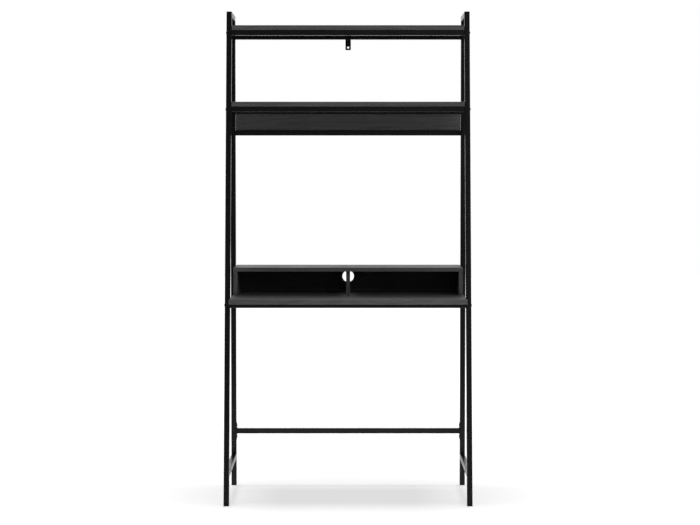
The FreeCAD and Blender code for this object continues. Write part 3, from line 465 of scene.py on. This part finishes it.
def laminate(name, axes):
    """Black wood-grain laminate: its grain along the first of the axes, bands on its edges."""
    values = finishes()
    material, tree, shader, vector = new_material(name)
    normal = node(tree, "ShaderNodeNewGeometry").outputs["Normal"]
    facing = split(tree, turned(tree, normal, axes, "VECTOR"))
    end = maths(tree, "GREATER_THAN", maths(tree, "ABSOLUTE", facing["X"]), END_FACING)
    band = maths(tree, "LESS_THAN", maths(tree, "ABSOLUTE", facing["Z"]), BAND_FACING)
    local = turned(tree, vector, axes)
    parts = split(tree, local)
    swapped = {"X": parts["Y"], "Y": parts["X"], "Z": parts["Z"]}
    across = node(tree, "ShaderNodeCombineXYZ", swapped).outputs[0]
    grain = wood_grain(tree, mix(tree, "VECTOR", end, local, across))
    coat = coat_texture(tree, vector)
    shade = remap(tree, band, UNIT_SPAN, BAND_TONE)
    tone = maths(tree, "ADD", grain["Tone"], shade, clamp=True)
    toned = blend(tree, tone, values.board_dark, values.board_light)
    pored = blend(tree, scaled(tree, grain["Pores"], BOARD_PORE_SHARE), toned, BOARD_PORE)
    edge = worn_edges(tree, vector, BOARD_WEAR)
    drift = remap(tree, coat["Drift"], NOISE_SPAN, BOARD_DRIFT)
    gloss = maths(tree, "SUBTRACT", drift, scaled(tree, band, BAND_GLOSS))
    rough = maths(tree, "ADD", gloss, scaled(tree, grain["Pores"], BOARD_PORE_ROUGHNESS))
    fill(tree, shader, {
        "Base Color": blend(tree, edge, pored, BOARD_WORN),
        "Roughness": maths(tree, "ADD", rough, values.board_roughness, clamp=True),
        "Specular IOR Level": BOARD_SPECULAR,
        "Normal": relief(tree, grain["Height"], BOARD_RELIEF),
    })
    return material


def moulded_plastic():
    """Matte black plastic with a fine spark-eroded skin."""
    material, tree, shader, vector = new_material("cap_plastic")
    skin = noise(tree, vector, PLASTIC_SKIN)
    scuffs = remap(tree, noise(tree, vector, PLASTIC_SCUFFS), SCUFF_SPAN)
    edge = worn_edges(tree, vector, PLASTIC_WEAR)
    scuffed = maths(tree, "MAXIMUM", scaled(tree, scuffs, SCUFF_SHARE), edge)
    fill(tree, shader, {
        "Base Color": blend(tree, scuffed, finishes().cap, PLASTIC_WORN),
        "Roughness": remap(tree, skin, NOISE_SPAN, PLASTIC_ROUGHNESS),
        "Normal": relief(tree, skin, PLASTIC_RELIEF),
    })
    return material


def black_oxide():
    """Blackened steel with a trace of bare metal on its edges."""
    material, tree, shader, vector = new_material("black_oxide")
    mottle = noise(tree, vector, OXIDE_MOTTLE)
    edge = worn_edges(tree, vector, OXIDE_WEAR)
    fill(tree, shader, {
        "Base Color": blend(tree, edge, finishes().bolt, BARE_STEEL),
        "Metallic": remap(tree, mottle, NOISE_SPAN, OXIDE_METALLIC),
        "Roughness": remap(tree, mottle, NOISE_SPAN, OXIDE_ROUGHNESS),
        "Normal": relief(tree, mottle, OXIDE_RELIEF),
    })
    return material


def zinc_plate():
    """Bright zinc plate with faint clouding."""
    material, tree, shader, vector = new_material("zinc_plate")
    cloud = noise(tree, vector, ZINC_CLOUD)
    warm = remap(tree, cloud, CLOUD_SPAN, CLOUD_SHARE)
    fill(tree, shader, {
        "Base Color": blend(tree, warm, finishes().zinc, WARM_ZINC),
        "Metallic": 1.0,
        "Roughness": remap(tree, cloud, NOISE_SPAN, ZINC_ROUGHNESS),
        "Normal": relief(tree, noise(tree, vector, ZINC_GRIT), ZINC_RELIEF),
    })
    return material


def beech():
    """Plain beech with its grain upright and short dark flecks."""
    material, tree, shader, vector = new_material("beech_peg")
    grain = wood_grain(tree, turned(tree, vector, UPRIGHT_AXES))
    toned = blend(tree, grain["Tone"], finishes().peg, PALE_BEECH)
    fleck = scaled(tree, grain["Pores"], FLECK_SHARE)
    fill(tree, shader, {
        "Base Color": blend(tree, fleck, toned, BEECH_FLECK),
        "Roughness": remap(tree, grain["Tone"], UNIT_SPAN, BEECH_ROUGHNESS),
        "Normal": relief(tree, grain["Height"], BEECH_RELIEF),
    })
    return material


def dress(names, material):
    """Give CAD nodes a finish."""
    for name in names:
        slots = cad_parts[name].material_slots
        if not slots:
            raise RuntimeError(f"{name} has no material slot")
        for slot in slots:
            slot.material = material


# Weld beads

# Where the points of a bead's face lie on the way from one joined face to the other
BEAD_ARC = (0.0, 0.25, 0.5, 0.75, 1.0)
STEPS_TO_A_RIPPLE = 4
FEWEST_RIPPLES = 3
RIPPLE_SWELL = 0.07
# Size of a bead at its ends and one step in
END_SIZES = (0.45, 0.85)

AHEAD, BACK = Vector((0, -1, 0)), Vector((0, 1, 0))
DOWN, UP = Vector((0, 0, -1)), Vector((0, 0, 1))
LEFTWARD, RIGHTWARD = Vector((-1, 0, 0)), Vector((1, 0, 0))


def grow(mesh, face, centre, times):
    """Scale a face about a point."""
    space = Matrix.Translation(-centre)
    bmesh.ops.scale(mesh, verts=face.verts, vec=(times, times, times), space=space)


def weld_bead(mesh, corner, first, second, run):
    """A rounded profile in a corner, pushed along a run and swollen at each ripple."""
    settings = bpy.context.scene.desk_welds
    arc = [corner + settings.bead * second.slerp(first, share) for share in BEAD_ARC]
    face = mesh.faces.new([mesh.verts.new(spot) for spot in (corner, *arc)])
    steps = STEPS_TO_A_RIPPLE * max(FEWEST_RIPPLES, round(run.length / settings.ripple))
    turn = 2 * math.pi / STEPS_TO_A_RIPPLE
    sizes = [1.0 + RIPPLE_SWELL * math.cos(turn * step) for step in range(steps + 1)]
    for place, size in enumerate(END_SIZES):
        sizes[place] = sizes[-1 - place] = size
    grow(mesh, face, corner, sizes[0])
    for step in range(1, steps + 1):
        region = [face, *face.edges, *face.verts]
        made = bmesh.ops.extrude_face_region(mesh, geom=region)["geom"]
        face = next(item for item in made if isinstance(item, bmesh.types.BMFace))
        bmesh.ops.translate(mesh, verts=face.verts, vec=run / steps)
        grow(mesh, face, corner + run * (step / steps), sizes[step] / sizes[step - 1])


def weld_piece(name, beads):
    """One piece of several weld beads, coated as the steel is."""
    mesh = bmesh.new()
    for bead in beads:
        weld_bead(mesh, *bead)
    bmesh.ops.recalc_face_normals(mesh, faces=mesh.faces)
    for face in mesh.faces:
        face.smooth = True
    data = bpy.data.meshes.new(name)
    mesh.to_mesh(data)
    mesh.free()
    data.materials.append(powder_coat())
    piece = bpy.data.objects.new(name, data)
    bpy.context.scene.collection.objects.link(piece)
    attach(piece, "root")


def side_frame_beads(side):
    """A side frame's welds: at both ends of its stretcher and inside its two mitres."""
    margin = bpy.context.scene.desk_welds.margin
    low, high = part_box(f"{side}_side_stretcher")
    bar_low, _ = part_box(f"{side}_top_bar")
    leg_low, leg_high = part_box(f"{side}_front_leg")
    slope = (bar_low.y - leg_low.y) / (leg_high.z - leg_low.z)
    up_leg = Vector((0, slope, 1)).normalized()
    stretcher_end = low.y + slope * (high.z - low.z)
    left = low.x + margin
    run = Vector((high.x - low.x - 2 * margin, 0, 0))
    return [
        (Vector((left, high.y, high.z)), AHEAD, UP, run),
        (Vector((left, high.y, low.z)), AHEAD, DOWN, run),
        (Vector((left, stretcher_end, high.z)), BACK, up_leg, run),
        (Vector((left, low.y, low.z)), BACK, -up_leg, run),
        (Vector((left, high.y, bar_low.z)), AHEAD, DOWN, run),
        (Vector((left, leg_high.y, bar_low.z)), BACK, -up_leg, run),
    ]


def stretcher_beads():
    """The welds between the rear stretcher and its end plates."""
    margin = bpy.context.scene.desk_welds.margin
    low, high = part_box("rear_stretcher")
    run = Vector((0, high.y - low.y - 2 * margin, 0))
    return [
        (Vector((x, low.y + margin, z)), inward, outward, run)
        for x, inward in ((low.x, RIGHTWARD), (high.x, LEFTWARD))
        for z, outward in ((low.z, DOWN), (high.z, UP))
    ]


# Stage

WHITE = (1.0, 1.0, 1.0, 1.0)
# Directions in which gloss finds the backdrop, the room in front, and that room's brighter side
BACKDROP_SPAN = (-0.15, 0.45)
FRONT_SPAN = (-0.75, -0.98)
SIDE_SPAN, SIDE_GLEAM = (-0.12, 0.12), (0.07, 0.42)

FLOOR_REACH, FLOOR_SEGMENTS = 14.0, 8
PAPER_TOOTH = Noise((300, 300, 300))
TOOTH_SHARE = 0.04
TOOTH_GREY = (0.8, 0.8, 0.8, 1.0)
# From where to where the floor turns open, and how much of its lift gloss finds near the desk
OPEN_SPAN = (1.2, 3.5)
MIRRORED_SPAN, MIRRORED_SHARE = (-2.2, -0.5), 0.6

SENSOR_WIDTH = 36.0
CLIP_END = 100.0


class Lamp(NamedTuple):
    """A soft lamp: its setting, size, place and target, and where its light doesn't show."""

    name: str
    setting: str
    size: tuple
    place: tuple
    target: tuple
    on_floor: bool = True
    in_gloss: bool = True
    in_picture: bool = True


DESK_MIDDLE = (0.0, 0.0, 1.1)
LAMPS = (
    Lamp("right_lamp", "right", (1.4, 2.6), (3.9, -1.6, 2.0), DESK_MIDDLE,
         on_floor=False, in_gloss=False),
    Lamp("left_lamp", "left", (1.4, 2.6), (-3.9, -1.6, 2.0), DESK_MIDDLE,
         on_floor=False, in_gloss=False),
    Lamp("front_lamp", "front", (3.0, 1.4), (1.3, -4.1, 3.2), DESK_MIDDLE,
         on_floor=False, in_gloss=False),
    Lamp("floor_bounce", "bounce", (5.0, 4.0), (0.0, -0.6, 0.004), (0.0, -0.6, 1.0),
         in_gloss=False, in_picture=False),
    Lamp("top_lamp", "top", (3.2, 1.8), (0.0, 0.15, 5.5), (0.0, 0.0, 0.0)),
)


def seen_rays(tree):
    """Rays that show the backdrop: from the camera, and off a glossy face or through glass."""
    path = node(tree, "ShaderNodeLightPath").outputs
    mirrored = maths(tree, "MAXIMUM", path["Is Glossy Ray"], path["Is Transmission Ray"])
    return path["Is Camera Ray"], mirrored


def build_world(settings):
    """White for the camera, a white backdrop and a dim front in gloss, soft light elsewhere."""
    world = bpy.data.worlds.new("Studio")
    world.use_nodes = True
    tree = world.node_tree
    tree.nodes.clear()
    way = split(tree, node(tree, "ShaderNodeTexCoord").outputs["Generated"])
    backdrop = remap(tree, way["Y"], BACKDROP_SPAN)
    ahead = remap(tree, way["Y"], FRONT_SPAN)
    front = scaled(tree, ahead, remap(tree, way["X"], SIDE_SPAN, SIDE_GLEAM))
    camera, mirrored = seen_rays(tree)
    white = maths(tree, "MAXIMUM", camera, scaled(tree, mirrored, backdrop))
    dim = scaled(tree, maths(tree, "SUBTRACT", 1.0, mirrored), settings.ambient)
    rest = maths(tree, "ADD", dim, scaled(tree, mirrored, front))
    strength = maths(tree, "MAXIMUM", white, rest)
    background = node(tree, "ShaderNodeBackground", {"Color": WHITE, "Strength": strength})
    node(tree, "ShaderNodeOutputWorld", {"Surface": background.outputs[0]})
    bpy.context.scene.world = world


def floor_paper(settings):
    """Pale paper that keeps the shadow and is white in the picture where it is open."""
    material = bpy.data.materials.new("studio_floor")
    material.use_nodes = True
    tree = material.node_tree
    tree.nodes.clear()
    vector = node(tree, "ShaderNodeTexCoord").outputs["Object"]
    tooth = scaled(tree, noise(tree, vector, PAPER_TOOTH), TOOTH_SHARE)
    pale = blend(tree, tooth, settings.floor, TOOTH_GREY)
    paper = node(tree, "ShaderNodeBsdfDiffuse", {"Color": pale})
    reach = node(tree, "ShaderNodeVectorMath", {0: vector}, operation="LENGTH").outputs["Value"]
    far = remap(tree, reach, OPEN_SPAN, (settings.floor_glow, 1.0))
    near = scaled(tree, remap(tree, split(tree, vector)["Y"], MIRRORED_SPAN), MIRRORED_SHARE)
    camera, mirrored = seen_rays(tree)
    shown = maths(tree, "MAXIMUM", camera, scaled(tree, mirrored, near))
    lift = scaled(tree, shown, far)
    glow = node(tree, "ShaderNodeEmission", {"Color": WHITE, "Strength": lift})
    both = node(tree, "ShaderNodeAddShader", {0: paper.outputs[0], 1: glow.outputs[0]})
    node(tree, "ShaderNodeOutputMaterial", {"Surface": both.outputs[0]})
    return material


def build_floor(settings):
    """A wide floor under the desk."""
    mesh = bmesh.new()
    bmesh.ops.create_grid(mesh, x_segments=FLOOR_SEGMENTS, y_segments=FLOOR_SEGMENTS,
                          size=FLOOR_REACH)
    data = bpy.data.meshes.new("studio_floor")
    mesh.to_mesh(data)
    mesh.free()
    data.materials.append(floor_paper(settings))
    floor = bpy.data.objects.new("studio_floor", data)
    bpy.context.scene.collection.objects.link(floor)
    return floor


def spare_floor(lamp, floor):
    """Keep a lamp's light off the floor, so that only the overhead lamp casts a shadow there."""
    receivers = bpy.data.collections.new(f"{lamp.name}_receivers")
    receivers.objects.link(floor)
    receivers.collection_objects[0].light_linking.link_state = "EXCLUDE"
    lamp.light_linking.receiver_collection = receivers


def soft_lamp(lamp, power, floor):
    """A rectangular lamp that faces its target."""
    data = bpy.data.lights.new(lamp.name, "AREA")
    data.shape = "RECTANGLE"
    data.energy = power
    data.size, data.size_y = lamp.size
    made = bpy.data.objects.new(lamp.name, data)
    made.location = lamp.place
    aim = Vector(lamp.target) - Vector(lamp.place)
    made.rotation_euler = aim.to_track_quat("-Z", "Y").to_euler()
    made.visible_glossy = lamp.in_gloss
    made.visible_camera = lamp.in_picture
    bpy.context.scene.collection.objects.link(made)
    if not lamp.on_floor:
        spare_floor(made, floor)


def build_camera(settings):
    """The photograph's point of view."""
    data = bpy.data.cameras.new("Camera")
    data.sensor_width = SENSOR_WIDTH
    data.lens = settings.lens
    data.shift_y = settings.rise
    data.clip_end = CLIP_END
    camera = bpy.data.objects.new("Camera", data)
    camera.location = settings.eye
    camera.rotation_euler = (math.pi / 2 - settings.tilt, 0.0, 0.0)
    bpy.context.scene.collection.objects.link(camera)
    bpy.context.scene.camera = camera


# Operators

class DESK_OT_steel_frame(bpy.types.Operator):
    """Coat the tubes, plates and bracket"""

    bl_idname = "desk.steel_frame"
    bl_label = "Coat Steel Frame"

    def execute(self, context):
        dress(STEEL_NODES, powder_coat())
        return {"FINISHED"}


class DESK_OT_boards(bpy.types.Operator):
    """Cover the shelves, the desk, the back panel and the cubby with wood-grain laminate"""

    bl_idname = "desk.boards"
    bl_label = "Cover Boards"

    def execute(self, context):
        dress(LYING_BOARDS, laminate("laminate_lying", LYING_AXES))
        dress(CROSS_PANELS, laminate("laminate_cross", CROSS_AXES))
        dress(DEEP_PANELS, laminate("laminate_deep", DEEP_AXES))
        return {"FINISHED"}


class DESK_OT_foot_caps(bpy.types.Operator):
    """Finish the plastic caps in the leg ends"""

    bl_idname = "desk.foot_caps"
    bl_label = "Finish Foot Caps"

    def execute(self, context):
        dress(FOOT_CAPS, moulded_plastic())
        return {"FINISHED"}


class DESK_OT_fasteners(bpy.types.Operator):
    """Blacken the domed bolts and the wood screws"""

    bl_idname = "desk.fasteners"
    bl_label = "Blacken Fasteners"

    def execute(self, context):
        dress(BLACK_FASTENERS, black_oxide())
        return {"FINISHED"}


class DESK_OT_hardware(bpy.types.Operator):
    """Plate the connectors and nuts"""

    bl_idname = "desk.hardware"
    bl_label = "Plate Hardware"

    def execute(self, context):
        dress(ZINC_HARDWARE, zinc_plate())
        return {"FINISHED"}


class DESK_OT_pegs(bpy.types.Operator):
    """Finish the wooden pins and dowels"""

    bl_idname = "desk.pegs"
    bl_label = "Finish Pegs"

    def execute(self, context):
        dress(WOOD_PEGS, beech())
        return {"FINISHED"}


class DESK_OT_weld_beads(bpy.types.Operator):
    """Lay the weld beads of the side frames and the rear stretcher"""

    bl_idname = "desk.weld_beads"
    bl_label = "Lay Weld Beads"

    def execute(self, context):
        for side in SIDES:
            weld_piece(f"{side}_side_frame_welds", side_frame_beads(side))
        weld_piece("rear_stretcher_welds", stretcher_beads())
        return {"FINISHED"}


class DESK_OT_stage(bpy.types.Operator):
    """Set up the floor, the lamps, the backdrop and the camera"""

    bl_idname = "desk.stage"
    bl_label = "Set Up Stage"

    def execute(self, context):
        settings = context.scene.desk_stage
        context.scene.view_settings.view_transform = "Standard"
        build_world(settings)
        floor = build_floor(settings)
        for lamp in LAMPS:
            soft_lamp(lamp, getattr(settings, lamp.setting), floor)
        build_camera(settings)
        return {"FINISHED"}


class DESK_PT_ladder_desk(bpy.types.Panel):
    """Finishes, welds and stage of the ladder desk"""

    bl_idname = "DESK_PT_ladder_desk"
    bl_label = "Ladder Desk"
    bl_space_type = "VIEW_3D"
    bl_region_type = "UI"
    bl_category = "Ladder Desk"

    def draw(self, context):
        for group, operators in PANEL_ROWS:
            box = self.layout.box()
            settings = getattr(context.scene, group)
            for name in settings.__annotations__:
                box.prop(settings, name)
            for operator in operators:
                box.operator(operator.bl_idname)


PANEL_ROWS = (
    ("desk_finishes", (DESK_OT_steel_frame, DESK_OT_boards, DESK_OT_foot_caps, DESK_OT_fasteners,
                       DESK_OT_hardware, DESK_OT_pegs)),
    ("desk_welds", (DESK_OT_weld_beads,)),
    ("desk_stage", (DESK_OT_stage,)),
)
SETTINGS = (("desk_finishes", DeskFinishes), ("desk_welds", DeskWelds), ("desk_stage", DeskStage))
CLASSES = (
    *(group for _, group in SETTINGS),
    *(operator for _, operators in PANEL_ROWS for operator in operators),
    DESK_PT_ladder_desk,
)


def register():
    for item in CLASSES:
        bpy.utils.register_class(item)
    for name, group in SETTINGS:
        setattr(bpy.types.Scene, name, PointerProperty(type=group))


def unregister():
    for name, _ in SETTINGS:
        delattr(bpy.types.Scene, name)
    for item in reversed(CLASSES):
        bpy.utils.unregister_class(item)


def main():
    """Dress the desk."""
    register()
    bpy.ops.desk.steel_frame()
    bpy.ops.desk.boards()
    bpy.ops.desk.foot_caps()
    bpy.ops.desk.fasteners()
    bpy.ops.desk.hardware()
    bpy.ops.desk.pegs()
    bpy.ops.desk.weld_beads()
    bpy.ops.desk.stage()


if __name__ == "__main__":
    main()
